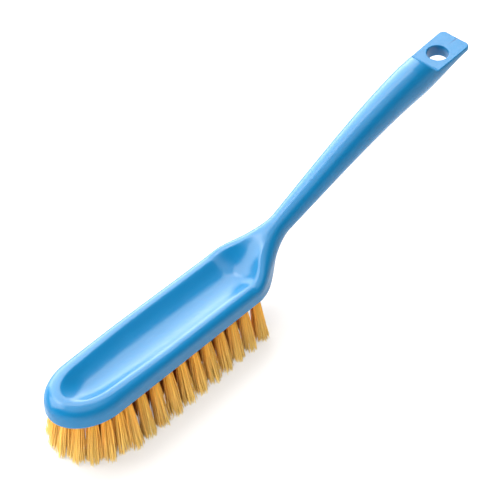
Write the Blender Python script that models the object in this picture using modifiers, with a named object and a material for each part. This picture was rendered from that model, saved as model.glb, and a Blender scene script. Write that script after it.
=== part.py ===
"""Shoe brush: a dished head with stapled bristle tufts, a raised handle and a hanging tab.

The head, neck, handle and tab are one polypropylene moulding. It is modelled in the head's
own frame, in metres: x runs from the toe tip to the handle, y across, z up from the flat
underside. The bristles are trimmed longer at the toe than at the heel, so the finished
brush is turned by the trim angle to stand on its bristle tips on z = 0.
"""

import math

import bmesh
import bpy
from mathutils import Matrix, Vector

# Head
HEAD_WIDTH = 0.038
HEAD_HEIGHT = 0.009
HEAD_STRAIGHT_END = 0.126
TOE_LENGTH = 0.0262
TOE_THICKENING = 0.0018
RIM_SIDE = 0.0050
RIM_TOE = 0.0092
RIM_FADE = 0.070
RIM_DROP_SIDE = 0.0038
RIM_DROP_TOE = 0.0060
UNDER_EDGE_RADIUS = 0.0008
DISH_DEPTH = 0.0042
DISH_CREST_ROUND = 0.05
DISH_FADE_START = 0.122
DISH_FADE = 0.036

# Neck and handle
SHOULDER_LENGTH = 0.038
SHOULDER_CROWN = 0.0028
SHOULDER_SWELL = 1.6
SHOULDER_SQUARE_END = 0.2
SHOULDER_ROUND_START = 0.65
OVAL_CREST_ANGLE = math.radians(60.0)
NECK_HEIGHT = 0.0181
NECK_RADIUS = 0.0058
NECK_ANGLE = math.radians(20.0)
HANDLE_LENGTH = 0.103
HANDLE_RISE = 0.0323
HANDLE_END_RADIUS = 0.0099
HANDLE_END_ANGLE = math.radians(9.5)

# Core drawn out of the handle from below: shares are of the handle's radius
CORE_SIDE_SHARE = 0.58
CORE_FOOT_SHARE = 0.72
CORE_FOOT_START = 1.05
CORE_FOOT_FADE = 0.014
CORE_WALL = 0.0024
CORE_NECK_MARGIN = 0.010
CORE_TAB_REACH = 0.003
CORE_RIB = 0.0018
CORE_BAYS = 6

# Hanging tab
TAB_LENGTH = 0.0388
TAB_HALF_WIDTH = 0.0097
TAB_TIP_THICKNESS = 0.0040
TAB_UPPER_HEIGHT = 0.0080
TAB_THIN_START = 0.035
TAB_THIN_END = 0.965
TAB_THIN_POWER = 1.5
TAB_CORNER_RADIUS = 0.0030
TAB_FLAT_LENGTH = 0.0270
TAB_FLAT_DEPTH = 0.0043
TAB_FLAT_ANGLE = math.radians(5.0)
TAB_RAMP_ANGLE = math.radians(36.0)
TAB_RAMP_RADIUS = 0.006
TAB_HOLE_DIAMETER = 0.0118
TAB_HOLE_TO_TIP = 0.0164
TAB_HOLE_CHAMFER = 0.0005

# Bristle tufts
TRIM_AT_TOE = 0.0288
TRIM_AT_HEEL = 0.0230
TUFT_SIDE_INSET = 0.0046
TUFT_TOE_INSET = 0.0098
TUFT_HOLE_DIAMETER = 0.0044
TUFT_HOLE_DEPTH = 0.0036
TUFT_CLEARANCE = 0.0003
TUFT_COLLAR = 0.0005
SIDE_TUFTS = 11
SIDE_TUFT_START = 0.0337
SIDE_TUFT_HEEL_OFFSET = 0.0011
TOE_TUFTS = 4
INNER_ROW_Y = 0.0048
INNER_TUFTS = 12
SIDE_SPLAY = math.radians(16.0)
TOE_SPLAY = math.radians(1.0)
INNER_SPLAY = math.radians(5.0)
STRANDS = 8
STRAND_SIDES = 4
STRAND_RADIUS = 0.00054
STRAND_ROOT_RING = 0.00118
STRAND_TIP_RING = 0.0031
STRAND_TOE_TIP_RING = 0.0024
TUFT_TURN = math.radians(23.0)

# Mesh density
UNDERSIDE_SHARES = (0.0, 0.3, 0.6, 0.85)
EDGE_STEPS = 2
RIM_STEPS = 5
WALL_STEPS = 6
CORE_ROOF_STEPS = 4
CORE_BAY_STEPS = 3
CORE_FOOT_STEPS = 16
RAMP_STEPS = 6
ROW_PATH_STEPS = 200
TOE_STEPS = 12
STRAIGHT_STEPS = 4
SHOULDER_STEPS = 14
HANDLE_STEPS = 16
TAB_STEPS = 9
CORNER_STEPS = 4
HOLE_SIDES = 8
TAB_HOLE_SIDES = 28

NECK_X = HEAD_STRAIGHT_END + SHOULDER_LENGTH
HANDLE_END_X = NECK_X + HANDLE_LENGTH
HANDLE_END_Z = NECK_HEIGHT + HANDLE_RISE
TIP_X = HANDLE_END_X + TAB_LENGTH
LAST_SIDE_X = HEAD_STRAIGHT_END + SIDE_TUFT_HEEL_OFFSET
SIDE_PITCH = (LAST_SIDE_X - SIDE_TUFT_START) / (SIDE_TUFTS - 1)
TRIM_SLOPE = (TRIM_AT_TOE - TRIM_AT_HEEL) / LAST_SIDE_X
TRIM_ANGLE = math.atan(TRIM_SLOPE)
FAR = 0.05


def smooth(t):
    """Eases from 0 to 1 with level ends."""
    t = min(1.0, max(0.0, t))
    return t * t * (3.0 - 2.0 * t)


def mix(a, b, t):
    return a + (b - a) * t


def hermite(t, length, start, end, start_slope, end_slope):
    """A cubic height over a run, and its slope, between two heights with given slopes."""
    t2, t3 = t * t, t * t * t
    height = (2 * t3 - 3 * t2 + 1) * start + (3 * t2 - 2 * t3) * end
    height += length * ((t3 - 2 * t2 + t) * start_slope + (t3 - t2) * end_slope)
    slope = 6 * (t2 - t) * (start - end) / length
    slope += (3 * t2 - 4 * t + 1) * start_slope + (3 * t2 - 2 * t) * end_slope
    return height, slope


def shoulder_spine(x):
    """Centre height and slope where the head turns into the neck."""
    t = (x - HEAD_STRAIGHT_END) / SHOULDER_LENGTH
    return hermite(t, SHOULDER_LENGTH, HEAD_HEIGHT / 2, NECK_HEIGHT, 0.0, math.tan(NECK_ANGLE))


def handle_spine(x):
    """Centre height and slope of the round handle."""
    t = (x - NECK_X) / HANDLE_LENGTH
    slopes = math.tan(NECK_ANGLE), math.tan(HANDLE_END_ANGLE)
    return hermite(t, HANDLE_LENGTH, NECK_HEIGHT, HANDLE_END_Z, *slopes)


def handle_radius(x):
    return mix(NECK_RADIUS, HANDLE_END_RADIUS, (x - NECK_X) / HANDLE_LENGTH)


def flat_height(x):
    """Height of the tab's flat face, which is cut into the end of the handle."""
    start = TIP_X - TAB_FLAT_LENGTH
    top = HANDLE_END_Z + HANDLE_END_RADIUS
    return top - TAB_FLAT_DEPTH + (x - start) * math.tan(TAB_FLAT_ANGLE)


def rim_inset(x):
    """How far the rim's crest lies in from the head's side."""
    return mix(RIM_TOE, RIM_SIDE, smooth(x / RIM_FADE))


def rim_drop(x):
    """How far the rim rounds down from its crest to the upright side."""
    return mix(RIM_DROP_TOE, RIM_DROP_SIDE, smooth(x / RIM_FADE))


def toe_drop(x):
    """How much lower the flat underside lies towards the toe, where the head is thicker."""
    return TOE_THICKENING * max(0.0, 1.0 - x / HEAD_STRAIGHT_END)


def dish_fall(share):
    """Fall of the dish from its crest to its middle, steep at first and with a rounded crest."""
    reach = math.hypot(share, DISH_CREST_ROUND) - DISH_CREST_ROUND
    reach /= math.hypot(1.0, DISH_CREST_ROUND) - DISH_CREST_ROUND
    return 1.0 - (1.0 - reach) ** 2


def head_profile(width, half, inset, drop):
    """Half section of the head without its dish, from under the centre line round to the top."""
    edge = UNDER_EDGE_RADIUS
    drop = min(drop, 2 * (half - edge))
    points = [(width * share, -half) for share in UNDERSIDE_SHARES]
    for k in range(EDGE_STEPS + 1):
        angle = math.pi / 2 * k / EDGE_STEPS
        points.append((width - edge + edge * math.sin(angle), -half + edge - edge * math.cos(angle)))
    for k in range(RIM_STEPS + 1):
        angle = math.pi / 2 * k / RIM_STEPS
        points.append((width - inset + inset * math.cos(angle), half - drop + drop * math.sin(angle)))
    for k in range(1, WALL_STEPS + 1):
        points.append(((width - inset) * (1.0 - k / WALL_STEPS), half))
    return points


PROFILE_POINTS = len(head_profile(HEAD_WIDTH / 2, HEAD_HEIGHT / 2, RIM_SIDE, RIM_DROP_SIDE))
CREST = PROFILE_POINTS - 1 - WALL_STEPS


def dished(profile, depth):
    """Sinks the dish into a half section, between its crest and its middle."""
    sunk = profile[:CREST + 1]
    for k in range(1, WALL_STEPS + 1):
        u, v = profile[CREST + k]
        sunk.append((u, v - depth * dish_fall(k / WALL_STEPS)))
    return sunk


def thickened(points):
    """Draws the outside of a half section down to the sloping underside."""
    lowered = []
    for k, point in enumerate(points):
        wall = HEAD_HEIGHT - rim_drop(point.x)
        share = max(0.0, 1.0 - point.z / wall) if k <= CREST else 0.0
        lowered.append(point - Vector((0.0, 0.0, toe_drop(point.x) * share)))
    return lowered


def oval_profile(width, upper, lower):
    """Half section of an oval with its own upper and lower heights."""
    points = []
    for k in range(PROFILE_POINTS):
        if k <= CREST:
            angle = mix(-math.pi / 2, OVAL_CREST_ANGLE, k / CREST)
        else:
            angle = mix(OVAL_CREST_ANGLE, math.pi / 2, (k - CREST) / WALL_STEPS)
        height = upper if angle > 0 else lower
        points.append((width * math.cos(angle), height * math.sin(angle)))
    points[0] = (0.0, -lower)
    points[-1] = (0.0, upper)
    return points


def dish_depth(x):
    """Depth of the dish, which runs out as a leaf on the neck."""
    return DISH_DEPTH * (1.0 - smooth((x - DISH_FADE_START) / DISH_FADE))


def blend(first, second, t):
    return [(mix(a[0], b[0], t), mix(a[1], b[1], t)) for a, b in zip(first, second)]


def rib(centre, outward, slope, profile):
    """Places a half section on the centre line, leaning with the slope of the line."""
    angle = math.atan(slope)
    up = Vector((-math.sin(angle), 0.0, math.cos(angle)))
    return [centre + outward * u + up * v for u, v in profile]


def body_ribs():
    """All half sections on the -y side, from the toe tip to the end of the tab."""
    ribs = []
    side = Vector((0.0, -1.0, 0.0))
    half = HEAD_HEIGHT / 2
    toe_centre = Vector((TOE_LENGTH, 0.0, half))
    for k in range(TOE_STEPS + 1):
        angle = math.pi / 2 * k / TOE_STEPS
        reach = Vector((-TOE_LENGTH * math.cos(angle), -HEAD_WIDTH / 2 * math.sin(angle), 0.0))
        x = TOE_LENGTH + reach.x
        profile = head_profile(reach.length, half, rim_inset(x), rim_drop(x))
        outward = reach.normalized() if k else Vector((-1.0, 0.0, 0.0))
        if k == TOE_STEPS:
            outward = side
        ribs.append(thickened(rib(toe_centre, outward, 0.0, dished(profile, DISH_DEPTH))))
    for k in range(1, STRAIGHT_STEPS):
        x = mix(TOE_LENGTH, HEAD_STRAIGHT_END, k / STRAIGHT_STEPS)
        profile = dished(head_profile(HEAD_WIDTH / 2, half, rim_inset(x), rim_drop(x)), dish_depth(x))
        ribs.append(thickened(rib(Vector((x, 0.0, half)), side, 0.0, profile)))
    for k in range(SHOULDER_STEPS + 1):
        t = k / SHOULDER_STEPS
        x = HEAD_STRAIGHT_END + SHOULDER_LENGTH * t
        z, slope = shoulder_spine(x)
        width = mix(HEAD_WIDTH / 2, NECK_RADIUS, smooth(t))
        height = mix(half, NECK_RADIUS, 1.0 - (1.0 - t) ** SHOULDER_SWELL)
        crown = SHOULDER_CROWN * (4.0 * t * (1.0 - t)) ** 2
        square = head_profile(width, height, min(rim_inset(x), width / 2), rim_drop(x))
        rounding = smooth((t - SHOULDER_SQUARE_END) / (SHOULDER_ROUND_START - SHOULDER_SQUARE_END))
        profile = blend(square, oval_profile(width, height, height), rounding)
        profile = [(u, v + crown * smooth((v + height) / (2 * height))) for u, v in profile]
        ribs.append(rib(Vector((x, 0.0, z)), side, slope, dished(profile, dish_depth(x))))
    for k in range(1, HANDLE_STEPS + 1):
        x = NECK_X + HANDLE_LENGTH * k / HANDLE_STEPS
        z, slope = handle_spine(x)
        radius = handle_radius(x)
        ribs.append(rib(Vector((x, 0.0, z)), side, slope, oval_profile(radius, radius, radius)))
    return ribs + tab_ribs(side)


def tab_ribs(side):
    """Half sections that thin out from the handle's end to the tab's tip, with round corners."""
    stops = [(TAB_LENGTH - TAB_CORNER_RADIUS) * k / TAB_STEPS for k in range(1, TAB_STEPS + 1)]
    for k in range(1, CORNER_STEPS + 1):
        angle = math.pi / 2 * k / CORNER_STEPS
        stops.append(TAB_LENGTH - TAB_CORNER_RADIUS * (1.0 - math.sin(angle)))
    axis_tip = flat_height(TIP_X) - TAB_TIP_THICKNESS / 2
    slopes = math.tan(HANDLE_END_ANGLE), math.tan(TAB_FLAT_ANGLE)
    ribs = []
    for stop in stops:
        t = stop / TAB_LENGTH
        z, slope = hermite(t, TAB_LENGTH, HANDLE_END_Z, axis_tip, *slopes)
        width = mix(HANDLE_END_RADIUS, TAB_HALF_WIDTH, smooth(t))
        into_corner = max(0.0, stop - (TAB_LENGTH - TAB_CORNER_RADIUS))
        width -= TAB_CORNER_RADIUS - math.sqrt(max(0.0, TAB_CORNER_RADIUS ** 2 - into_corner ** 2))
        upper = mix(HANDLE_END_RADIUS, TAB_UPPER_HEIGHT, t)
        thinning = smooth(mix(TAB_THIN_START, TAB_THIN_END, t ** TAB_THIN_POWER))
        lower = mix(HANDLE_END_RADIUS, TAB_TIP_THICKNESS / 2, thinning)
        centre = Vector((HANDLE_END_X + stop, 0.0, z))
        ribs.append(rib(centre, side, slope, oval_profile(width, upper, lower)))
    return ribs


def new_object(name, mesh, collection):
    obj = bpy.data.objects.new(name, mesh)
    collection.objects.link(obj)
    return obj


def mesh_from(name, build):
    """Runs a bmesh building function and keeps the result as a mesh."""
    bm = bmesh.new()
    build(bm)
    bmesh.ops.remove_doubles(bm, verts=bm.verts, dist=1e-6)
    bmesh.ops.recalc_face_normals(bm, faces=bm.faces)
    mesh = bpy.data.meshes.new(name)
    bm.to_mesh(mesh)
    bm.free()
    return mesh


def skin(bm, rings, closed):
    """Faces between neighbouring rings of points, and the rings' own vertices."""
    rows = [[bm.verts.new(point) for point in ring] for ring in rings]
    count = len(rows[0])
    for first, second in zip(rows, rows[1:]):
        for k in range(count if closed else count - 1):
            after = (k + 1) % count
            bm.faces.new((first[k], first[after], second[after], second[k]))
    return rows


def body_shell(bm):
    """The -y half of the moulding, its end closed and its cut plane left open."""
    rows = skin(bm, body_ribs(), closed=False)
    bm.faces.new(rows[-1])


def tuft_places():
    """Root point, outward lean direction and lean angle of every tuft on the -y side."""
    half_x = TOE_LENGTH - TUFT_TOE_INSET
    half_y = HEAD_WIDTH / 2 - TUFT_SIDE_INSET
    path = []
    for k in range(ROW_PATH_STEPS + 1):
        angle = math.pi / 2 * k / ROW_PATH_STEPS
        path.append(Vector((TOE_LENGTH - half_x * math.cos(angle), -half_y * math.sin(angle), 0.0)))
    path.append(Vector((SIDE_TUFT_START, -half_y, 0.0)))
    lengths = [0.0]
    for first, second in zip(path, path[1:]):
        lengths.append(lengths[-1] + (second - first).length)
    places = []
    for k in range(TOE_TUFTS + 1):
        target = lengths[-1] * k / (TOE_TUFTS + 1)
        j = max(i for i, run in enumerate(lengths) if run <= target)
        part = (target - lengths[j]) / (lengths[j + 1] - lengths[j])
        point = path[j].lerp(path[j + 1], part)
        away = (point - Vector((TOE_LENGTH, 0.0, 0.0))).normalized()
        if point.x > TOE_LENGTH:
            away = Vector((0.0, -1.0, 0.0))
        share = k / (TOE_TUFTS + 1)
        places.append((f"toe_{k}", point, away, mix(TOE_SPLAY, SIDE_SPLAY, share ** 3)))
    for k in range(SIDE_TUFTS):
        point = Vector((SIDE_TUFT_START + SIDE_PITCH * k, -half_y, 0.0))
        places.append((f"side_{k + 1}", point, Vector((0.0, -1.0, 0.0)), SIDE_SPLAY))
    for k in range(INNER_TUFTS):
        point = Vector((LAST_SIDE_X - SIDE_PITCH * (k + 0.5), -INNER_ROW_Y, 0.0))
        places.append((f"inner_{INNER_TUFTS - k}", point, Vector((0.0, -1.0, 0.0)), INNER_SPLAY))
    for _, point, *_ in places:
        point.z = -toe_drop(point.x)
    return places


def mirrored(vector):
    return Vector((vector.x, -vector.y, vector.z))


def all_tufts():
    """Every tuft with its name: the toe's middle one, then each place on both sides."""
    tufts = []
    for index, (name, point, away, lean) in enumerate(tuft_places()):
        turn = TUFT_TURN * index
        if abs(point.y) < 1e-6:
            tufts.append((f"tuft_{name}", point, away, lean, turn, 1))
            continue
        tufts.append((f"tuft_{name}_near", point, away, lean, turn, 1))
        tufts.append((f"tuft_{name}_far", mirrored(point), mirrored(away), lean, turn, -1))
    return tufts


def turned_ring(centre, radius, sides, phase=0.0):
    ring = []
    for k in range(sides):
        angle = 2 * math.pi * (k + phase) / sides
        ring.append(centre + Vector((math.cos(angle), math.sin(angle), 0.0)) * radius)
    return ring


def prism(bm, rings):
    """A closed solid through rings of points."""
    rows = skin(bm, rings, closed=True)
    bm.faces.new(rows[0])
    bm.faces.new(rows[-1])


def tuft_holes(bm):
    """Blind holes that the tufts are stapled into, as one set of cutters."""
    for _, point, *_ in all_tufts():
        rings = []
        for z in (-TUFT_HOLE_DEPTH, TUFT_HOLE_DEPTH):
            rings.append(turned_ring(point + Vector((0, 0, z)), TUFT_HOLE_DIAMETER / 2, HOLE_SIDES, 0.5))
        prism(bm, rings)


def core_ends():
    return NECK_X + CORE_NECK_MARGIN, HANDLE_END_X + CORE_TAB_REACH


def core_section(radius):
    """Upright sides under a round roof that leaves the core's wall above it."""
    roof = radius - CORE_WALL
    half = min(radius * CORE_SIDE_SHARE, roof)
    lift = math.acos(half / roof)
    points = [(-half, -FAR)]
    for step in range(CORE_ROOF_STEPS + 1):
        angle = mix(math.pi - lift, lift, step / CORE_ROOF_STEPS)
        points.append((roof * math.cos(angle), roof * math.sin(angle)))
    points.append((half, -FAR))
    return points


def core_cutter(bm):
    """Bays under the handle that thin its walls, parted by cross ribs."""
    start, end = core_ends()
    bay = (end - start - CORE_RIB * (CORE_BAYS - 1)) / CORE_BAYS
    for k in range(CORE_BAYS):
        rings = []
        for step in range(CORE_BAY_STEPS + 1):
            x = start + (bay + CORE_RIB) * k + bay * step / CORE_BAY_STEPS
            z, _ = handle_spine(x)
            rings.append([Vector((x, u, z + v)) for u, v in core_section(handle_radius(x))])
        prism(bm, rings)


def core_foot_cutter(bm):
    """Levels the feet of the core's walls and ribs, from a fade at the neck to under the tab."""
    start = core_ends()[0] - CORE_FOOT_FADE
    end = HANDLE_END_X + TAB_LENGTH / 2
    half = 2 * HANDLE_END_RADIUS
    rings = []
    for step in range(CORE_FOOT_STEPS + 1):
        x = mix(start, end, step / CORE_FOOT_STEPS)
        z, slope = handle_spine(x)
        share = mix(CORE_FOOT_START, CORE_FOOT_SHARE, smooth((x - start) / CORE_FOOT_FADE))
        top = z - handle_radius(x) * share * math.sqrt(1.0 + slope * slope)
        low = z - FAR
        rings.append([Vector((x, y, h)) for y, h in ((-half, low), (-half, top), (half, top), (half, low))])
    prism(bm, rings)


def flat_cutter(bm):
    """Takes off all that stands above the tab's flat face, with a curved ramp to the handle."""
    start = TIP_X - TAB_FLAT_LENGTH
    start_z = flat_height(start)
    outline = [(TIP_X + FAR, flat_height(TIP_X + FAR)), (start, start_z)]
    centre_x = start - TAB_RAMP_RADIUS * math.sin(TAB_FLAT_ANGLE)
    centre_z = start_z + TAB_RAMP_RADIUS * math.cos(TAB_FLAT_ANGLE)
    for k in range(1, RAMP_STEPS + 1):
        turn = mix(-TAB_FLAT_ANGLE, TAB_RAMP_ANGLE, k / RAMP_STEPS)
        x = centre_x - TAB_RAMP_RADIUS * math.sin(turn)
        z = centre_z - TAB_RAMP_RADIUS * math.cos(turn)
        outline.append((x, z))
    x, z = outline[-1]
    outline.append((x - FAR * math.cos(TAB_RAMP_ANGLE), z + FAR * math.sin(TAB_RAMP_ANGLE)))
    outline.append((TIP_X + FAR, outline[-1][1]))
    rings = [[Vector((x, y, z)) for x, z in outline] for y in (-FAR / 2, FAR / 2)]
    prism(bm, rings)


def hang_hole(bm):
    """The round hole through the tab, square to its flat face, with a small top chamfer."""
    x = TIP_X - TAB_HOLE_TO_TIP
    radius = TAB_HOLE_DIAMETER / 2
    levels = [(-FAR / 2, radius), (-TAB_HOLE_CHAMFER, radius)]
    levels += [(TAB_HOLE_CHAMFER, radius + 2 * TAB_HOLE_CHAMFER), (FAR / 2, radius + 2 * TAB_HOLE_CHAMFER)]
    prism(bm, [turned_ring(Vector((0, 0, z)), r, TAB_HOLE_SIDES) for z, r in levels])
    place = Matrix.Translation((x, 0.0, flat_height(x))) @ Matrix.Rotation(-TAB_FLAT_ANGLE, 4, "Y")
    bmesh.ops.transform(bm, matrix=place, verts=bm.verts)


def trim_point(root, toward):
    """Where a straight strand meets the trimmed plane of the bristle tips."""
    reach = (-TRIM_AT_TOE + TRIM_SLOPE * root.x - root.z) / (toward.z - TRIM_SLOPE * toward.x)
    return root + toward * reach


def tuft_strands(bm, point, away, lean, turn, hand):
    """Square strands that spread from the root and are all cut off on one flat plane."""
    axis = (away * math.sin(lean) + Vector((0, 0, -1)) * math.cos(lean)).normalized()
    base = point + Vector((0, 0, TUFT_COLLAR))
    length = TRIM_AT_TOE / math.cos(lean)
    tip_ring = STRAND_TOE_TIP_RING if point.x < TOE_LENGTH else STRAND_TIP_RING
    for k in range(STRANDS):
        angle = 2 * math.pi * k / (STRANDS - 1) + turn
        ring = 0.0 if k == STRANDS - 1 else 1.0
        spoke = Vector((math.cos(angle), hand * math.sin(angle), 0.0)) * ring
        root = base + spoke * STRAND_ROOT_RING
        far = point + axis * length + spoke * tip_ring
        toward = (far - root).normalized()
        rings = [[], []]
        for corner in range(STRAND_SIDES):
            swing = angle + 2 * math.pi * (corner + 0.5) / STRAND_SIDES
            offset = Vector((math.cos(swing), hand * math.sin(swing), 0.0)) * STRAND_RADIUS
            rings[0].append(root + offset)
            rings[1].append(trim_point(root + offset, toward))
        prism(bm, rings)


def plug(bm, point):
    """The folded root of a tuft with its wire anchor, pressed into the hole."""
    radius = TUFT_HOLE_DIAMETER / 2 - TUFT_CLEARANCE
    rings = []
    for z in (-TUFT_COLLAR, TUFT_HOLE_DEPTH - TUFT_CLEARANCE):
        rings.append(turned_ring(point + Vector((0, 0, z)), radius, HOLE_SIDES, 0.5))
    prism(bm, rings)


def material(name, colour, roughness):
    mat = bpy.data.materials.new(name)
    mat.use_nodes = True
    shader = mat.node_tree.nodes["Principled BSDF"]
    shader.inputs["Base Color"].default_value = (*colour, 1.0)
    shader.inputs["Roughness"].default_value = roughness
    shader.inputs["Metallic"].default_value = 0.0
    return mat


def cutter(name, build, collection, stand):
    obj = new_object(name, mesh_from(name, build), collection)
    obj.hide_render = True
    obj.display_type = "WIRE"
    obj.parent = stand
    return obj


def add_boolean(obj, other, operation):
    step = obj.modifiers.new(other.name, "BOOLEAN")
    step.operation = operation
    step.solver = "EXACT"
    step.object = other


def build_body(collection, cutters, stand):
    mesh = mesh_from("brush_body", body_shell)
    body = new_object("brush_body", mesh, collection)
    mesh.materials.append(material("blue_moulding", (0.09, 0.38, 0.76), 0.22))
    mirror = body.modifiers.new("other_half", "MIRROR")
    mirror.use_axis = (False, True, False)
    mirror.use_clip = True
    mirror.merge_threshold = 0.00001
    for name, build in (("cut_flat", flat_cutter), ("cut_hang_hole", hang_hole),
                        ("cut_core_foot", core_foot_cutter), ("cut_core", core_cutter),
                        ("cut_tuft_holes", tuft_holes)):
        add_boolean(body, cutter(name, build, cutters, stand), "DIFFERENCE")
    body.parent = stand
    return body


def build_tuft(place, looks, collection, cutters, stand):
    name, point, *lay = place
    strands = cutter(f"strands_of_{name}", lambda bm: tuft_strands(bm, point, *lay), cutters, stand)
    mesh = mesh_from(name, lambda bm: plug(bm, point))
    mesh.materials.append(looks)
    tuft = new_object(name, mesh, collection)
    tuft.parent = stand
    add_boolean(tuft, strands, "UNION")
    return tuft


def stand_on_tips(stand, objects):
    """Turns the brush onto its trimmed bristle tips and centres it over the origin."""
    stand.rotation_euler = (0.0, TRIM_ANGLE, 0.0)
    bpy.context.view_layer.update()
    graph = bpy.context.evaluated_depsgraph_get()
    corners = []
    for obj in objects:
        shown = obj.evaluated_get(graph)
        corners += [shown.matrix_world @ vertex.co for vertex in shown.data.vertices]
    middle = (min(c.x for c in corners) + max(c.x for c in corners)) / 2
    stand.location = (-middle, 0.0, TRIM_AT_TOE * math.cos(TRIM_ANGLE))
    bpy.context.view_layer.update()


def main():
    for obj in list(bpy.data.objects):
        bpy.data.objects.remove(obj, do_unlink=True)
    parts = bpy.data.collections.new("shoe_brush")
    cutters = bpy.data.collections.new("cutters")
    for collection in (parts, cutters):
        bpy.context.scene.collection.children.link(collection)
    stand = bpy.data.objects.new("stand", None)
    parts.objects.link(stand)
    body = build_body(parts, cutters, stand)
    amber = material("amber_filament", (0.80, 0.45, 0.10), 0.45)
    objects = [body]
    for place in all_tufts():
        objects.append(build_tuft(place, amber, parts, cutters, stand))
    stand_on_tips(stand, objects)
    for obj in objects:
        obj.data.shade_smooth()
        obj.data.set_sharp_from_angle(angle=math.radians(30))


main()
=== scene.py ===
"""Shoe brush: the finished look of the moulding and of its bristles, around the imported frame.

Laid out as an add-on and run as a script. Sizes are in metres. The head's own frame has x from
the toe tip to the handle, y across and z up from the flat underside, and stand() turns it onto
the trimmed bristle tips, as the frame has it.
"""

import math
import random

import bpy
import numpy as np
from mathutils import Matrix, Vector


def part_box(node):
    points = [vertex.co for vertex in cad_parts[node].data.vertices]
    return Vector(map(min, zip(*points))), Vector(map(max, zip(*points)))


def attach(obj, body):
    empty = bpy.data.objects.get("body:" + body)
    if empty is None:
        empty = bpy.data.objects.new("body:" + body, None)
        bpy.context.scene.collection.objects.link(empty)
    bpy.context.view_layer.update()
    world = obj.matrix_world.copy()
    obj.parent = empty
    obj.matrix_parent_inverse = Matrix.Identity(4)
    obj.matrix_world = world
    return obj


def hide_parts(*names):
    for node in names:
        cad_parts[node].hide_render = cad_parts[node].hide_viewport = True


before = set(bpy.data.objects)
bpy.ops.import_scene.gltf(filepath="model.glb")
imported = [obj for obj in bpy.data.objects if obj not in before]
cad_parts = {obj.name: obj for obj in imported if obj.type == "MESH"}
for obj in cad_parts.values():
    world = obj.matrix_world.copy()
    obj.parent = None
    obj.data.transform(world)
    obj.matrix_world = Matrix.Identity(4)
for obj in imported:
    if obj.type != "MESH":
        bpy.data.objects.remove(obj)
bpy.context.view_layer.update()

bl_info = {
    "name": "Shoe Brush",
    "version": (1, 0, 0),
    "blender": (4, 5, 0),
    "location": "View3D > Sidebar > Shoe Brush",
    "description": "Models a moulded shoe brush with stapled filament tufts",
    "category": "Add Mesh",
}

BODY = "root"
FILAMENT = "extruded_polypropylene_filament"

# Head section, in steps from the middle of the underside round to the middle of the dish
UNDERSIDE_SHARES = (0.0, 0.3, 0.6, 0.85)
EDGE_START, EDGE_END = 4, 6
RIM_START, CREST = 7, 12
SECTION_END = 18
SECTION_FINENESS = 5         # points to a step
SECTION_POINTS = SECTION_END * SECTION_FINENESS + 1

TOE_THICKENING = 0.0018
RIM_SIDE = 0.0050
RIM_TOE = 0.0076
RIM_FADE = 0.070
RIM_DROP_SIDE = 0.0038
RIM_DROP_TOE = 0.0060
UNDER_EDGE_RADIUS = 0.0008
DISH_CREST_ROUND = 0.13      # of the way from the crest to the middle
DISH_FADE_START = 0.122
DISH_FADE = 0.036

SHOULDER_LENGTH = 0.038
SHOULDER_CROWN = 0.0028
SHOULDER_SWELL = 1.6
SHOULDER_SQUARE_END = 0.2
SHOULDER_ROUND_START = 0.65
OVAL_CREST_ANGLE = math.radians(60.0)
NECK_HEIGHT = 0.0181
NECK_ANGLE = math.radians(20.0)
HANDLE_END_ANGLE = math.radians(9.5)

# Core under the handle: shares are of the handle's radius
CORE_SIDE_SHARE = 0.58
CORE_FOOT_SHARE = 0.72
CORE_FOOT_START = 1.05
CORE_FOOT_FADE = 0.014
CORE_WALL = 0.0024
CORE_NECK_MARGIN = 0.010
CORE_TAB_REACH = 0.003
CORE_RIB = 0.0018
CORE_BAYS = 6
CORE_ROOF_STEPS = 16
CORE_BAY_STEPS = 8
CORE_FOOT_ROUND = 0.0007

# Hanging tab
TAB_HALF_WIDTH = 0.0097
TAB_TIP_THICKNESS = 0.0040
TAB_UPPER_HEIGHT = 0.0080
TAB_THIN_START = 0.035
TAB_THIN_END = 0.965
TAB_THIN_POWER = 1.5
TAB_CORNER_RADIUS = 0.0030
TAB_FLAT_LENGTH = 0.0270
TAB_FLAT_DEPTH = 0.0043
TAB_FLAT_ANGLE = math.radians(5.0)
TAB_RAMP_ANGLE = math.radians(48.0)
TAB_RAMP_RADIUS = 0.003
TAB_EDGE_ROUND = 0.0009
TAB_TIP_ROUND = 0.0005
TAB_HOLE_TO_TIP = 0.0164
TAB_HOLE_LIP = 0.0005
TAB_LIP_STEPS = 6

# Rows of tufts
TRIM_AT_TOE = 0.0288
TRIM_AT_HEEL = 0.0230
TUFT_SIDE_INSET = 0.0046
TUFT_TOE_INSET = 0.0098
TUFT_HOLE_DEPTH = 0.0036
SIDE_TUFTS = 11
SIDE_TUFT_START = 0.0337
SIDE_TUFT_HEEL_OFFSET = 0.0011
TOE_TUFTS = 4
INNER_ROW_Y = 0.0048
INNER_TUFTS = 12
SIDE_SPLAY = math.radians(16.0)
TOE_SPLAY = math.radians(1.0)
INNER_SPLAY = math.radians(5.0)

# Mesh density
TOE_STEPS = 40
STRAIGHT_STEPS = 60
SHOULDER_STEPS = 90
HANDLE_STEPS = 80
TAB_STEPS = 84
CORNER_STEPS = 14
ROW_PATH_STEPS = 200
HOLE_SIDES = 24
HANG_HOLE_SIDES = 96
FILAMENT_SIDES = 4
FILAMENT_CUTS = 4
MOULDING_SMOOTH_ANGLE = math.radians(32)
FILAMENT_SMOOTH_ANGLE = math.radians(60)
FAR = 0.05                   # past every face that a cutter goes through
MERGE = 0.000002             # points closer than this are one

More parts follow.
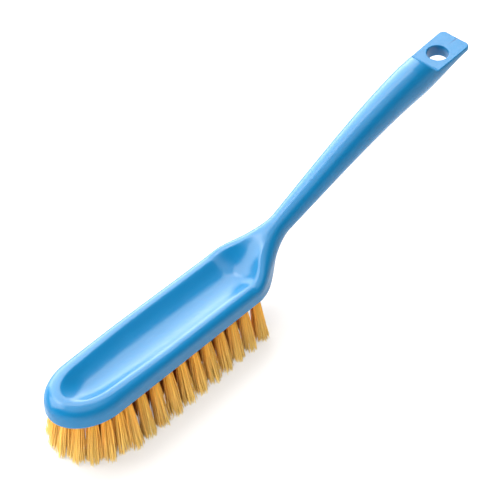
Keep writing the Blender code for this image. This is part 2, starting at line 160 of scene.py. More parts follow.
# How the filaments of a tuft lie
CLUMPS = 7
CLUMPING = 0.22              # how far a filament is drawn to its clump's middle
CLUMP_TURN = 0.3
CLUMP_RING = (0.62, 0.8)     # in shares of the tuft's radius
SPOKE_TURN = 0.25
FAN_RANGE = (0.9, 1.15)
STRAY = 0.0005
BOW = 0.0003
FLARE = 1.05
RAGGED_POWER = 2.5
ROOT_SHARE = 0.9
TIP_CLEARANCE = 0.00002
TOE_FAN = 0.0024
GOLDEN_ANGLE = math.pi * (3.0 - math.sqrt(5.0))
# Painted shade: an outer tuft's filaments are tinted deeper orange on the side that faces into the brush,
# and the inner rows' filaments wholly, where shade falls between the tufts
OUTER_PAINTED_SHADE = 0.35               # how far an outer tuft's filaments lie covered; the inner rows' do wholly
PAINTED_SHADE_TIP_LOSS = 0.6           # the share of that which is lost towards the tips

# Marks of moulding and wear: sizes across, and how long they are drawn out along the brush.
# Real rub marks and weld lines are about 0.1 mm wide, and are drawn wider here so that they show.
FLOW_STREAK = 0.012
FLOW_STRETCH = 4.0
RIPPLE = 0.007
RIPPLE_HEIGHT = 0.00006
RIPPLE_STRENGTH = 0.5
RUB_MARK = 0.0009
RUB_STRETCH = 14.0
RUB_DETAIL = 4.0
RUB_SPAN = (0.35, 0.7)
WELD_WIDTH = 0.00055
WELD_DEPTH = 0.0001
WELD_STRENGTH = 0.4
WELD_DRIFT = 0.0008
WELD_START = 0.1
WELD_TINT = "#6C95AA"

# How the plastics take light
POLISHED, RUBBED = 0.17, 0.27
PLASTIC_IOR = 1.49
MOULDING_SPECULAR = 0.42
SCATTER_WEIGHT = 0.12
SCATTER_REACH = 0.0012
SCATTER_RED_GREEN_BLUE = (0.2, 0.7, 1.0)
FILAMENT_ROUGHNESS = 0.4
FILAMENT_SPECULAR = 0.25
FILAMENT_THROUGH = 0.3
LOT_SHADES = (0.8, 1.12)
CUT_END_START = 0.95

# Soft lights: azimuth and elevation in degrees, distance, panel size and share of the key's power
PANELS = {
    "back_panel": (154, 37, 1.25, (1.25, 1.85), 1.0),
    "left_panel": (212, 45, 1.25, (0.8, 0.9), 1 / 2.8),
    "low_panel": (-68, 14, 1.1, (0.7, 0.4), 1 / 8),
}

# The room's light by how high one looks, and the floor's own by the distance from the brush
HORIZON_SPAN = (0.20, 0.45)
HORIZON_LEVEL = 0.95
CEILING_SPAN = (0.78, 1.0)
CEILING_LEVEL = 2.2
ROOM_WHITE = "#FFFFFF"
PAPER_SHADE = "#B5B3B1"
PAPER_GLOW = "#FFFCF8"
GLOW_SPAN = (0.45, 1.6)
GLOW_LEVELS = (0.47, 0.8)

# Sockets of the Mix node that hold its two colours and its result
COLOUR_A, COLOUR_B, MIXED = 6, 7, 2

# View: where the photograph was taken from
LOOK_AT = (-0.0087, 0.0041, 0.0311)
CAMERA_AZIMUTH = math.radians(-48.94)
CAMERA_ELEVATION = math.radians(44.80)
CAMERA_ROLL = math.radians(0.24)
CAMERA_DISTANCE = 1.0501
LENS = 148.83
SENSOR = 36.0


def length(name, description, metres):
    """A size that a user may change."""
    return bpy.props.FloatProperty(name=name, description=description, default=metres,
                                   min=0.0, precision=4, unit="LENGTH")


def linear(code):
    """Turns an sRGB hex colour into linear values."""
    values = [int(code[k:k + 2], 16) / 255 for k in (1, 3, 5)]
    return tuple(v / 12.92 if v <= 0.04045 else ((v + 0.055) / 1.055) ** 2.4 for v in values)


def colour(name, description, code):
    """A colour that a user may change, kept as linear values."""
    return bpy.props.FloatVectorProperty(name=name, description=description, default=linear(code),
                                         min=0.0, max=1.0, size=3, subtype="COLOR")


class MouldingSettings(bpy.types.PropertyGroup):
    """Sizes and colours of the moulding"""

    head_width: length("Head Width", "Across the head", 0.038)
    head_height: length("Head Height", "From the underside to the rim", 0.009)
    head_straight_end: length("Head Length", "Toe tip to the start of the shoulder", 0.126)
    toe_length: length("Toe Length", "Length of the rounded toe", 0.0262)
    dish_depth: length("Dish Depth", "Depth of the dish below its rim", 0.0042)
    neck_radius: length("Neck Radius", "Radius of the round neck", 0.0058)
    handle_length: length("Handle Length", "From the neck to the tab", 0.103)
    handle_rise: length("Handle Rise", "How far the handle climbs from the neck", 0.0323)
    handle_end_radius: length("Grip Radius", "Radius of the grip at its thick end", 0.0099)
    tab_length: length("Tab Length", "Length of the hanging tab", 0.0388)
    hole_diameter: length("Hanging Hole", "Diameter of the hole in the tab", 0.0118)
    base_colour: colour("Plastic", "Colour of the moulding", "#0D6E9F")
    # On the moulding this colour is the pigment's own, mixed in as random streaks; the bristles' setting
    # of the same name is painted shade
    deep_pigment_and_painted_shade_colour: colour("Plastic Shade", "Colour where the pigment lies thicker", "#0B6796")


class BristleSettings(bpy.types.PropertyGroup):
    """Sizes and colours of the bristles"""

    hole_diameter: length("Tuft Hole", "Diameter of the hole a tuft is stapled into", 0.0044)
    filament_diameter: length("Filament", "Diameter of one filament, thicker than life to show", 0.00040)
    tip_spread: length("Tip Spread", "Radius of a tuft at its tips", 0.0045)
    toe_tip_spread: length("Toe Tip Spread", "Radius of a toe tuft at its tips", 0.0044)
    ragged: length("Ragged Tips", "How much the filaments differ in length", 0.0015)
    filaments: bpy.props.IntProperty(name="Filaments", description="Filaments in one tuft",
                                     default=140, min=3, max=400)
    seed: bpy.props.IntProperty(name="Seed", description="Changes how the filaments lie", default=7)
    # The roots' deeper orange is painted shade deep in the tufts, on top of the amber's own colour
    root_colour: colour("Root", "Colour deep in the tufts", "#FFC034")
    # Painted shade: the deeper orange laid on filaments that other tufts cover
    deep_pigment_and_painted_shade_colour: colour("Deep", "Colour of the filaments that others cover", "#FF9412")
    cut_colour: colour("Cut Ends", "Colour of the cut ends", "#FFF3CF")
    tip_colour: colour("Tip", "Colour at the trimmed tips", "#FFE588")


class StageSettings(bpy.types.PropertyGroup):
    """Floor and lights"""

    floor_size: length("Floor", "Side of the floor", 30.0)
    floor_colour: colour("Floor Colour", "Colour of the floor", "#F4F3F1")
    key_power: bpy.props.FloatProperty(name="Key", description="Power of the large light",
                                       default=40.0, min=0.0, unit="POWER")
    fill_strength: bpy.props.FloatProperty(name="Fill", description="Strength of the room's light",
                                           default=0.12, min=0.0)


def smooth(t):
    """Eases from 0 to 1 with level ends."""
    t = min(1.0, max(0.0, t))
    return t * t * (3.0 - 2.0 * t)


def mix(a, b, t):
    """The value a share t of the way from a to b."""
    return a + (b - a) * t


def soft_lower(a, b, reach):
    """The lower of two heights, rounded where they cross."""
    h = min(1.0, max(0.0, 0.5 + 0.5 * (b - a) / reach))
    return mix(b, a, h) - reach * h * (1.0 - h)


def soft_upper(a, b, reach):
    """The upper of two heights, rounded where they cross."""
    return -soft_lower(-a, -b, reach)


def hermite(t, span, start, end, start_slope, end_slope):
    """A cubic height over a run, and its slope, between two heights with given slopes."""
    t2, t3 = t * t, t * t * t
    height = (2 * t3 - 3 * t2 + 1) * start + (3 * t2 - 2 * t3) * end
    height += span * ((t3 - 2 * t2 + t) * start_slope + (t3 - t2) * end_slope)
    slope = 6 * (t2 - t) * (start - end) / span
    slope += (3 * t2 - 4 * t + 1) * start_slope + (3 * t2 - 2 * t) * end_slope
    return height, slope


class Moulding:
    """The moulding's curves, worked out from its settings."""

    def __init__(self, settings):
        self.sizes = settings
        self.half = settings.head_height / 2
        self.neck_x = settings.head_straight_end + SHOULDER_LENGTH
        self.handle_end_x = self.neck_x + settings.handle_length
        self.handle_end_z = NECK_HEIGHT + settings.handle_rise
        self.tip_x = self.handle_end_x + settings.tab_length

    def dish_depth(self, x):
        """Depth of the dish, which runs out as a leaf on the neck."""
        return self.sizes.dish_depth * (1.0 - smooth((x - DISH_FADE_START) / DISH_FADE))

    def shoulder_spine(self, x):
        """Height and slope of the centre line from the head up to the neck."""
        t = (x - self.sizes.head_straight_end) / SHOULDER_LENGTH
        return hermite(t, SHOULDER_LENGTH, self.half, NECK_HEIGHT, 0.0, math.tan(NECK_ANGLE))

    def handle_spine(self, x):
        """Height and slope of the centre line from the neck to the tab."""
        t = (x - self.neck_x) / self.sizes.handle_length
        slopes = math.tan(NECK_ANGLE), math.tan(HANDLE_END_ANGLE)
        return hermite(t, self.sizes.handle_length, NECK_HEIGHT, self.handle_end_z, *slopes)

    def handle_radius(self, x):
        """Radius of the round handle, which swells from the neck to the grip."""
        share = (x - self.neck_x) / self.sizes.handle_length
        return mix(self.sizes.neck_radius, self.sizes.handle_end_radius, share)

    def flat_height(self, x):
        """Height of the tab's flat face, which is sunk into the end of the handle."""
        start = self.tip_x - TAB_FLAT_LENGTH
        top = self.handle_end_z + self.sizes.handle_end_radius
        return top - TAB_FLAT_DEPTH + (x - start) * math.tan(TAB_FLAT_ANGLE)

    def tab_ceiling(self, x):
        """The flat with its curved ramp to the handle, and its rounded end at the tip."""
        start = self.tip_x - TAB_FLAT_LENGTH
        into_tip = max(0.0, x - (self.tip_x - TAB_TIP_ROUND))
        if x >= start:
            return self.flat_height(x) - round_off(into_tip, TAB_TIP_ROUND)
        centre_x = start - TAB_RAMP_RADIUS * math.sin(TAB_FLAT_ANGLE)
        centre_z = self.flat_height(start) + TAB_RAMP_RADIUS * math.cos(TAB_FLAT_ANGLE)
        ramp_x = centre_x - TAB_RAMP_RADIUS * math.sin(TAB_RAMP_ANGLE)
        if x >= ramp_x:
            return centre_z - math.sqrt(TAB_RAMP_RADIUS ** 2 - (x - centre_x) ** 2)
        ramp_z = centre_z - TAB_RAMP_RADIUS * math.cos(TAB_RAMP_ANGLE)
        return ramp_z + (ramp_x - x) * math.tan(TAB_RAMP_ANGLE)

    def core_ends(self):
        """Where the core under the handle starts and ends."""
        return self.neck_x + CORE_NECK_MARGIN, self.handle_end_x + CORE_TAB_REACH

    def foot_floor(self, x):
        """Height that the feet of the core's walls are levelled to."""
        start = self.core_ends()[0] - CORE_FOOT_FADE
        z, slope = self.handle_spine(x)
        share = mix(CORE_FOOT_START, CORE_FOOT_SHARE, smooth((x - start) / CORE_FOOT_FADE))
        return z - self.handle_radius(x) * share * math.sqrt(1.0 + slope * slope)

    def finished(self, point):
        """Sinks the tab's flat into a point of the loft, and levels the feet under the handle."""
        x, y, z = point
        if x > self.handle_end_x - SHOULDER_LENGTH:
            z = soft_lower(z, self.tab_ceiling(x), TAB_EDGE_ROUND)
        start = self.core_ends()[0] - CORE_FOOT_FADE
        if start < x < self.handle_end_x + self.sizes.tab_length / 2:
            z = soft_upper(z, self.foot_floor(x), CORE_FOOT_ROUND)
        return Vector((x, y, z))


def round_off(into, radius):
    """How far a rounded corner falls back, a given way into it."""
    return radius - math.sqrt(max(0.0, radius * radius - into * into))


def rim_inset(x):
    """How far the rim's crest lies in from the head's side."""
    return mix(RIM_TOE, RIM_SIDE, smooth(x / RIM_FADE))


def rim_drop(x):
    """How far the rim rounds down from its crest to the upright side."""
    return mix(RIM_DROP_TOE, RIM_DROP_SIDE, smooth(x / RIM_FADE))


def toe_drop(x):
    """How much lower the flat underside lies towards the toe, where the head is thicker."""
    head_end = bpy.context.scene.brush_moulding.head_straight_end
    return TOE_THICKENING * max(0.0, 1.0 - x / head_end)


def head_section(width, half, x):
    """Half section of the head without its dish, from under the centre line round to the top."""
    step = np.arange(SECTION_POINTS) / SECTION_FINENESS
    edge = UNDER_EDGE_RADIUS
    inset = min(rim_inset(x), width / 2)
    drop = min(rim_drop(x), 2 * (half - edge))
    stops = [width * share for share in UNDERSIDE_SHARES] + [width - edge]
    edge_angle = np.clip((step - EDGE_START) / (EDGE_END - EDGE_START), 0, 1) * math.pi / 2
    rim_angle = np.clip((step - RIM_START) / (CREST - RIM_START), 0, 1) * math.pi / 2
    u = np.interp(step, range(EDGE_START + 1), stops) + edge * np.sin(edge_angle)
    v = -half + edge - edge * np.cos(edge_angle)
    side = step > EDGE_END
    v[side] = np.interp(step[side], (EDGE_END, RIM_START), (edge - half, half - drop))
    rim = step >= RIM_START
    u[rim] = width - inset + inset * np.cos(rim_angle[rim])
    v[rim] = half - drop + drop * np.sin(rim_angle[rim])
    top = step > CREST
    u[top] = (width - inset) * (SECTION_END - step[top]) / (SECTION_END - CREST)
    return np.stack([u, v], axis=1)


def dished(section, depth):
    """Sinks the dish between its crest and its middle, steep at first and with a rounded crest."""
    share = (np.arange(SECTION_POINTS) / SECTION_FINENESS - CREST) / (SECTION_END - CREST)
    reach = np.hypot(np.clip(share, 0.0, 1.0), DISH_CREST_ROUND) - DISH_CREST_ROUND
    reach /= math.hypot(1.0, DISH_CREST_ROUND) - DISH_CREST_ROUND
    section = section.copy()
    section[:, 1] -= depth * (1.0 - (1.0 - reach) ** 2)
    return section


def thickened(points, head_height):
    """Draws the outside of a half section down to the sloping underside."""
    lowered = []
    for k, point in enumerate(points):
        wall = head_height - rim_drop(point.x)
        share = max(0.0, 1.0 - point.z / wall) if k <= CREST * SECTION_FINENESS else 0.0
        lowered.append(point - Vector((0.0, 0.0, toe_drop(point.x) * share)))
    return lowered


def oval_section(width, upper, lower):
    """Half section of an oval with its own upper and lower heights."""
    step = np.arange(SECTION_POINTS) / SECTION_FINENESS
    angle = np.interp(step, (0, CREST, SECTION_END), (-math.pi / 2, OVAL_CREST_ANGLE, math.pi / 2))
    u = width * np.cos(angle)
    u[0] = u[-1] = 0.0
    v = np.where(angle > 0, upper, lower) * np.sin(angle)
    return np.stack([u, v], axis=1)


def rib(centre, outward, slope, section):
    """Places a half section on the centre line, leaning with the slope of the line."""
    angle = math.atan(slope)
    up = Vector((-math.sin(angle), 0.0, math.cos(angle)))
    return [centre + outward * u + up * v for u, v in section.tolist()]


def body_ribs(shape):
    """All half sections on the near side, from the toe tip to the end of the tab."""
    sizes = shape.sizes
    side = Vector((0.0, -1.0, 0.0))
    toe_centre = Vector((sizes.toe_length, 0.0, shape.half))
    ribs = []
    for k in range(TOE_STEPS + 1):
        angle = math.pi / 2 * k / TOE_STEPS
        across = sizes.head_width / 2 * math.sin(angle)
        reach = Vector((-sizes.toe_length * math.cos(angle), -across, 0.0))
        outward = side if k == TOE_STEPS else reach.normalized()
        if k == 0:
            outward = Vector((-1.0, 0.0, 0.0))
        head = head_section(reach.length, shape.half, sizes.toe_length + reach.x)
        section = dished(head, sizes.dish_depth)
        ribs.append(thickened(rib(toe_centre, outward, 0.0, section), sizes.head_height))
    for k in range(1, STRAIGHT_STEPS):
        x = mix(sizes.toe_length, sizes.head_straight_end, k / STRAIGHT_STEPS)
        section = dished(head_section(sizes.head_width / 2, shape.half, x), shape.dish_depth(x))
        ribs.append(thickened(rib(Vector((x, 0.0, shape.half)), side, 0.0, section), sizes.head_height))
    for k in range(SHOULDER_STEPS + 1):
        t = k / SHOULDER_STEPS
        x = sizes.head_straight_end + SHOULDER_LENGTH * t
        z, slope = shape.shoulder_spine(x)
        width = mix(sizes.head_width / 2, sizes.neck_radius, smooth(t))
        height = mix(shape.half, sizes.neck_radius, 1.0 - (1.0 - t) ** SHOULDER_SWELL)
        rounding = smooth((t - SHOULDER_SQUARE_END) / (SHOULDER_ROUND_START - SHOULDER_SQUARE_END))
        section = mix(head_section(width, height, x), oval_section(width, height, height), rounding)
        crown = SHOULDER_CROWN * (4.0 * t * (1.0 - t)) ** 2
        section[:, 1] += [crown * smooth((v + height) / (2 * height)) for v in section[:, 1]]
        ribs.append(rib(Vector((x, 0.0, z)), side, slope, dished(section, shape.dish_depth(x))))
    for k in range(1, HANDLE_STEPS + 1):
        x = shape.neck_x + sizes.handle_length * k / HANDLE_STEPS
        z, slope = shape.handle_spine(x)
        radius = shape.handle_radius(x)
        ribs.append(rib(Vector((x, 0.0, z)), side, slope, oval_section(radius, radius, radius)))
    return ribs + tab_ribs(shape, side)


def tab_ribs(shape, side):
    """Half sections that thin out from the handle's end to the tab's tip, with round corners."""
    sizes = shape.sizes
    stops = [(sizes.tab_length - TAB_CORNER_RADIUS) * k / TAB_STEPS for k in range(1, TAB_STEPS + 1)]
    for k in range(1, CORNER_STEPS + 1):
        angle = math.pi / 2 * k / CORNER_STEPS
        stops.append(sizes.tab_length - TAB_CORNER_RADIUS * (1.0 - math.sin(angle)))
    axis_tip = shape.flat_height(shape.tip_x) - TAB_TIP_THICKNESS / 2
    slopes = math.tan(HANDLE_END_ANGLE), math.tan(TAB_FLAT_ANGLE)
    ribs = []
    for stop in stops:
        t = stop / sizes.tab_length
        z, slope = hermite(t, sizes.tab_length, shape.handle_end_z, axis_tip, *slopes)
        width = mix(sizes.handle_end_radius, TAB_HALF_WIDTH, smooth(t))
        width -= round_off(max(0.0, stop - (sizes.tab_length - TAB_CORNER_RADIUS)), TAB_CORNER_RADIUS)
        upper = mix(sizes.handle_end_radius, TAB_UPPER_HEIGHT, t)
        thinning = smooth(mix(TAB_THIN_START, TAB_THIN_END, t ** TAB_THIN_POWER))
        lower = mix(sizes.handle_end_radius, TAB_TIP_THICKNESS / 2, thinning)
        lower -= round_off(max(0.0, stop - (sizes.tab_length - TAB_TIP_ROUND)), TAB_TIP_ROUND)
        centre = Vector((shape.handle_end_x + stop, 0.0, z))
        ribs.append(rib(centre, side, slope, oval_section(width, upper, lower)))
    return ribs


def stand():
    """Turns the head's frame onto the trimmed bristle tips, centred over the origin."""
    turn = Matrix.Rotation(math.atan((TRIM_AT_TOE - TRIM_AT_HEEL) / last_side_x()), 4, "Y")
    toe = min((turn @ point).x for point in body_ribs(Moulding(bpy.context.scene.brush_moulding))[0])
    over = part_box("brush_body")[0][0] - toe
    return Matrix.Translation((over, 0.0, TRIM_AT_TOE * turn[0][0])) @ turn


def last_side_x():
    """Where the last side tuft stands, a little past the head's straight part."""
    return bpy.context.scene.brush_moulding.head_straight_end + SIDE_TUFT_HEEL_OFFSET


def deselect():
    """Leaves nothing selected or active, in object mode."""
    if bpy.context.object and bpy.context.object.mode != "OBJECT":
        bpy.ops.object.mode_set(mode="OBJECT")
    bpy.ops.object.select_all(action="DESELECT")
    bpy.context.view_layer.objects.active = None


def make_active(obj):
    """Selects one object alone and makes it active."""
    deselect()
    obj.select_set(True)
    bpy.context.view_layer.objects.active = obj


def folded_sheet(name, rows, closed=False):
    """A grid whose rows are laid on rows of points: a loft, or a tube where closed."""
    deselect()
    if closed:
        rows = [row + row[:1] for row in rows]
    across, along = len(rows[0]), len(rows)
    bpy.ops.mesh.primitive_grid_add(x_subdivisions=across - 1, y_subdivisions=along - 1, size=1.0)
    sheet = bpy.context.object
    sheet.name = sheet.data.name = name
    if len(sheet.data.vertices) != across * along:
        raise RuntimeError(f"The grid for {name} has {len(sheet.data.vertices)} points")
    flat = np.array([tuple(point) for row in rows for point in row], dtype=np.float32)
    sheet.data.vertices.foreach_set("co", flat.ravel())
    sheet.data.update()
    return sheet


def close_up(obj):
    """Merges seams and poles, fills open ends and turns the faces outwards."""
    make_active(obj)
    bpy.ops.object.mode_set(mode="EDIT")
    bpy.ops.mesh.select_all(action="SELECT")
    bpy.ops.mesh.remove_doubles(threshold=MERGE)
    bpy.ops.mesh.dissolve_degenerate(threshold=MERGE)
    bpy.ops.mesh.select_all(action="SELECT")
    bpy.ops.mesh.fill_holes(sides=0)
    bpy.ops.mesh.select_all(action="SELECT")
    bpy.ops.mesh.normals_make_consistent(inside=False)
    bpy.ops.object.mode_set(mode="OBJECT")


def apply_modifier(obj, kind, **settings):
    """Adds a modifier with its settings and applies it."""
    make_active(obj)
    step = obj.modifiers.new(kind.lower(), kind)
    for key, value in settings.items():
        setattr(step, key, value)
    bpy.ops.object.modifier_apply(modifier=step.name)


def cut(obj, cutter):
    """Takes the cutter's space out of a piece and removes the cutter."""
    apply_modifier(obj, "BOOLEAN", operation="DIFFERENCE", solver="EXACT", object=cutter)
    bpy.data.objects.remove(cutter, do_unlink=True)


def bay_cutters(shape):
    """The bays drawn out of the handle from below, each under a round roof."""
    start, end = shape.core_ends()
    bay = (end - start - CORE_RIB * (CORE_BAYS - 1)) / CORE_BAYS
    cutters = []
    for k in range(CORE_BAYS):
        rows = []
        for step in range(CORE_BAY_STEPS + 1):
            x = start + (bay + CORE_RIB) * k + bay * step / CORE_BAY_STEPS
            z, _ = shape.handle_spine(x)
            radius = shape.handle_radius(x)
            roof = radius - CORE_WALL
            half = min(radius * CORE_SIDE_SHARE, roof)
            lift = math.acos(half / roof)
            row = [Vector((x, -half, z - FAR))]
            for turn in range(CORE_ROOF_STEPS + 1):
                angle = mix(math.pi - lift, lift, turn / CORE_ROOF_STEPS)
                row.append(Vector((x, roof * math.cos(angle), z + roof * math.sin(angle))))
            rows.append(row + [Vector((x, half, z - FAR))])
        cutters.append(folded_sheet(f"bay_{k}", rows, closed=True))
        close_up(cutters[-1])
    return cutters


def hang_hole_cutter(shape):
    """A turned cutter for the hanging hole, flared where it meets the tab's flat face."""
    radius = shape.sizes.hole_diameter / 2
    x = shape.tip_x - TAB_HOLE_TO_TIP
    levels = [(-FAR / 2, radius), (-TAB_HOLE_LIP, radius)]
    for k in range(1, TAB_LIP_STEPS + 1):
        turn = math.pi / 2 * k / TAB_LIP_STEPS
        widening = TAB_HOLE_LIP * (1.0 - math.cos(turn))
        levels.append((-TAB_HOLE_LIP * (1.0 - math.sin(turn)), radius + widening))
    levels.append((FAR / 4, radius + TAB_HOLE_LIP))
    place = Matrix.Translation((x, 0.0, shape.flat_height(x))) @ Matrix.Rotation(-TAB_FLAT_ANGLE, 4, "Y")
    rows = []
    for z, ring in levels:
        turns = [2 * math.pi * k / HANG_HOLE_SIDES for k in range(HANG_HOLE_SIDES)]
        rows.append([place @ Vector((ring * math.cos(a), ring * math.sin(a), z)) for a in turns])
    hole = folded_sheet("hang_hole", rows, closed=True)
    close_up(hole)
    return hole


def tuft_places(sizes):
    """Root point, outward lean direction and lean angle of every tuft on the near side."""
    half_x = sizes.toe_length - TUFT_TOE_INSET
    half_y = sizes.head_width / 2 - TUFT_SIDE_INSET
    path = []
    for k in range(ROW_PATH_STEPS + 1):
        angle = math.pi / 2 * k / ROW_PATH_STEPS
        path.append(Vector((sizes.toe_length - half_x * math.cos(angle), -half_y * math.sin(angle), 0.0)))
    path.append(Vector((SIDE_TUFT_START, -half_y, 0.0)))
    runs = [0.0]
    for first, second in zip(path, path[1:]):
        runs.append(runs[-1] + (second - first).length)
    places = {"toe": [], "side": [], "inner": []}
    for k in range(TOE_TUFTS + 1):
        share = k / (TOE_TUFTS + 1)
        target = runs[-1] * share
        j = max(i for i, run in enumerate(runs) if run <= target)
        point = path[j].lerp(path[j + 1], (target - runs[j]) / (runs[j + 1] - runs[j]))
        away = (point - Vector((sizes.toe_length, 0.0, 0.0))).normalized()
        if point.x > sizes.toe_length:
            away = Vector((0.0, -1.0, 0.0))
        places["toe"].append((k, point, away, mix(TOE_SPLAY, SIDE_SPLAY, share ** 3)))
    pitch = (last_side_x() - SIDE_TUFT_START) / (SIDE_TUFTS - 1)
    side = Vector((0.0, -1.0, 0.0))
    for k in range(SIDE_TUFTS):
        point = Vector((SIDE_TUFT_START + pitch * k, -half_y, 0.0))
        places["side"].append((k + 1, point, side, SIDE_SPLAY))
    for k in range(INNER_TUFTS):
        point = Vector((last_side_x() - pitch * (k + 0.5), -INNER_ROW_Y, 0.0))
        places["inner"].append((INNER_TUFTS - k, point, side, INNER_SPLAY))
    for row in places.values():
        for _, point, *_ in row:
            point.z = -toe_drop(point.x)
    return places


def row_tufts(row):
    """Each tuft of a row with its name's ending, on both sides of the brush."""
    tufts = []
    for number, point, away, lean in tuft_places(bpy.context.scene.brush_moulding)[row]:
        if abs(point.y) < MERGE:
            tufts.append((f"{row}_{number}", point, away, lean))
            continue
        for side, flip in (("near", 1.0), ("far", -1.0)):
            over = Vector((1.0, flip, 1.0))
            tufts.append((f"{row}_{number}_{side}", point * over, away * over, lean))
    return tufts


def tuft_hole_cutter():
    """Every tuft hole as one cutter, from a cylinder that is copied to each place."""
    radius = bpy.context.scene.brush_bristles.hole_diameter / 2
    holes = []
    for row in ("toe", "side", "inner"):
        for _, point, *_ in row_tufts(row):
            deselect()
            bpy.ops.mesh.primitive_cylinder_add(vertices=HOLE_SIDES, radius=radius,
                                                depth=2 * TUFT_HOLE_DEPTH, location=point)
            holes.append(bpy.context.object)
    deselect()
    for hole in holes:
        hole.select_set(True)
    bpy.context.view_layer.objects.active = holes[0]
    bpy.ops.object.transform_apply(location=True, rotation=False, scale=False)
    bpy.ops.object.join()
    return bpy.context.object


def add_node(tree, kind, settings=None, links=None):
    """Adds a node, sets its properties and sockets, and links its sockets to other outputs."""
    node = tree.nodes.new(kind)
    for key, value in (settings or {}).items():
        if isinstance(key, str) and hasattr(node, key):
            setattr(node, key, value)
        else:
            node.inputs[key].default_value = value
    for key, source in (links or {}).items():
        tree.links.new(source, node.inputs[key])
    return node


def new_material(name):
    """An empty node material with its shader and output."""
    looks = bpy.data.materials.new(name)
    looks.use_nodes = True
    tree = looks.node_tree
    tree.nodes.clear()
    shader = add_node(tree, "ShaderNodeBsdfPrincipled")
    add_node(tree, "ShaderNodeOutputMaterial", links={"Surface": shader.outputs[0]})
    return looks, tree, shader


def noise(tree, where, size, stretch=1.0, detail=2.0):
    """Noise whose lumps measure `size` across, and `stretch` times that along the brush."""
    lumps = add_node(tree, "ShaderNodeMapping", {"Scale": (1.0 / stretch, 1.0, 1.0)}, {"Vector": where})
    settings = {"Scale": 1.0 / size, "Detail": detail}
    return add_node(tree, "ShaderNodeTexNoise", settings, {"Vector": lumps.outputs[0]}).outputs["Fac"]


def polypropylene(settings):
    """Injection-moulded polypropylene in sky blue. It copies the mould's polish, so it is glossy
    with soft highlights; its skin ripples a little where it sank, and it scatters some light."""
    looks, tree, shader = new_material("moulded_polypropylene")
    where = add_node(tree, "ShaderNodeTexCoord").outputs["Object"]
    flow = noise(tree, where, FLOW_STREAK, FLOW_STRETCH)
    colours = {"data_type": "RGBA", COLOUR_A: (*settings.base_colour, 1.0),
               COLOUR_B: (*settings.deep_pigment_and_painted_shade_colour, 1.0)}
    tint = add_node(tree, "ShaderNodeMix", colours, {"Factor": flow}).outputs[MIXED]
    line = weld_line(tree, where)
    lined = {"data_type": "RGBA", "blend_type": "MULTIPLY",
             COLOUR_B: (*linear(WELD_TINT), 1.0)}
    marked = add_node(tree, "ShaderNodeMix", lined, {"Factor": line, COLOUR_A: tint})
    tree.links.new(marked.outputs[MIXED], shader.inputs["Base Color"])
    rub = noise(tree, where, RUB_MARK, RUB_STRETCH, RUB_DETAIL)
    polish = {"From Min": RUB_SPAN[0], "From Max": RUB_SPAN[1], "To Min": POLISHED, "To Max": RUBBED}
    worn = add_node(tree, "ShaderNodeMapRange", polish, {"Value": rub})
    tree.links.new(worn.outputs[0], shader.inputs["Roughness"])
    ripple = {"Strength": RIPPLE_STRENGTH, "Distance": RIPPLE_HEIGHT}
    sunk = add_node(tree, "ShaderNodeBump", ripple, {"Height": noise(tree, where, RIPPLE)})
    scored = {"Strength": WELD_STRENGTH, "Distance": WELD_DEPTH, "invert": True}
    grooved = add_node(tree, "ShaderNodeBump", scored, {"Height": line, "Normal": sunk.outputs[0]})
    tree.links.new(grooved.outputs[0], shader.inputs["Normal"])
    shader.inputs["IOR"].default_value = PLASTIC_IOR
    shader.inputs["Specular IOR Level"].default_value = MOULDING_SPECULAR
    shader.inputs["Subsurface Weight"].default_value = SCATTER_WEIGHT
    shader.inputs["Subsurface Scale"].default_value = SCATTER_REACH
    shader.inputs["Subsurface Radius"].default_value = SCATTER_RED_GREEN_BLUE
    return looks


def weld_line(tree, where):
    """A hairline from the hanging hole to the tip, where the melt closed behind the hole's pin."""
    shape = Moulding(bpy.context.scene.brush_moulding)
    stood = stand()
    hole_side = shape.tip_x - TAB_HOLE_TO_TIP + shape.sizes.hole_diameter / 2
    start, end = [(stood @ Vector((x, 0.0, shape.flat_height(x)))).x for x in (hole_side, shape.tip_x)]
    part = add_node(tree, "ShaderNodeSeparateXYZ", links={"Vector": where})
    along = {"From Min": start, "From Max": end, "To Min": 0.0, "To Max": WELD_DRIFT}
    drift = add_node(tree, "ShaderNodeMapRange", along, {"Value": part.outputs["X"]})
    off = add_node(tree, "ShaderNodeMath", links={0: part.outputs["Y"], 1: drift.outputs[0]})
    away = add_node(tree, "ShaderNodeMath", {"operation": "ABSOLUTE"}, {0: off.outputs[0]})
    narrow = {"From Min": WELD_WIDTH, "From Max": 0.0}
    hair = add_node(tree, "ShaderNodeMapRange", narrow, {"Value": away.outputs[0]})
    fade = {"From Min": mix(start, end, WELD_START), "From Max": end,
            "interpolation_type": "SMOOTHSTEP"}
    grown = add_node(tree, "ShaderNodeMapRange", fade, {"Value": part.outputs["X"]})
    both = {0: hair.outputs[0], 1: grown.outputs[0]}
    return add_node(tree, "ShaderNodeMath", {"operation": "MULTIPLY"}, both).outputs[0]


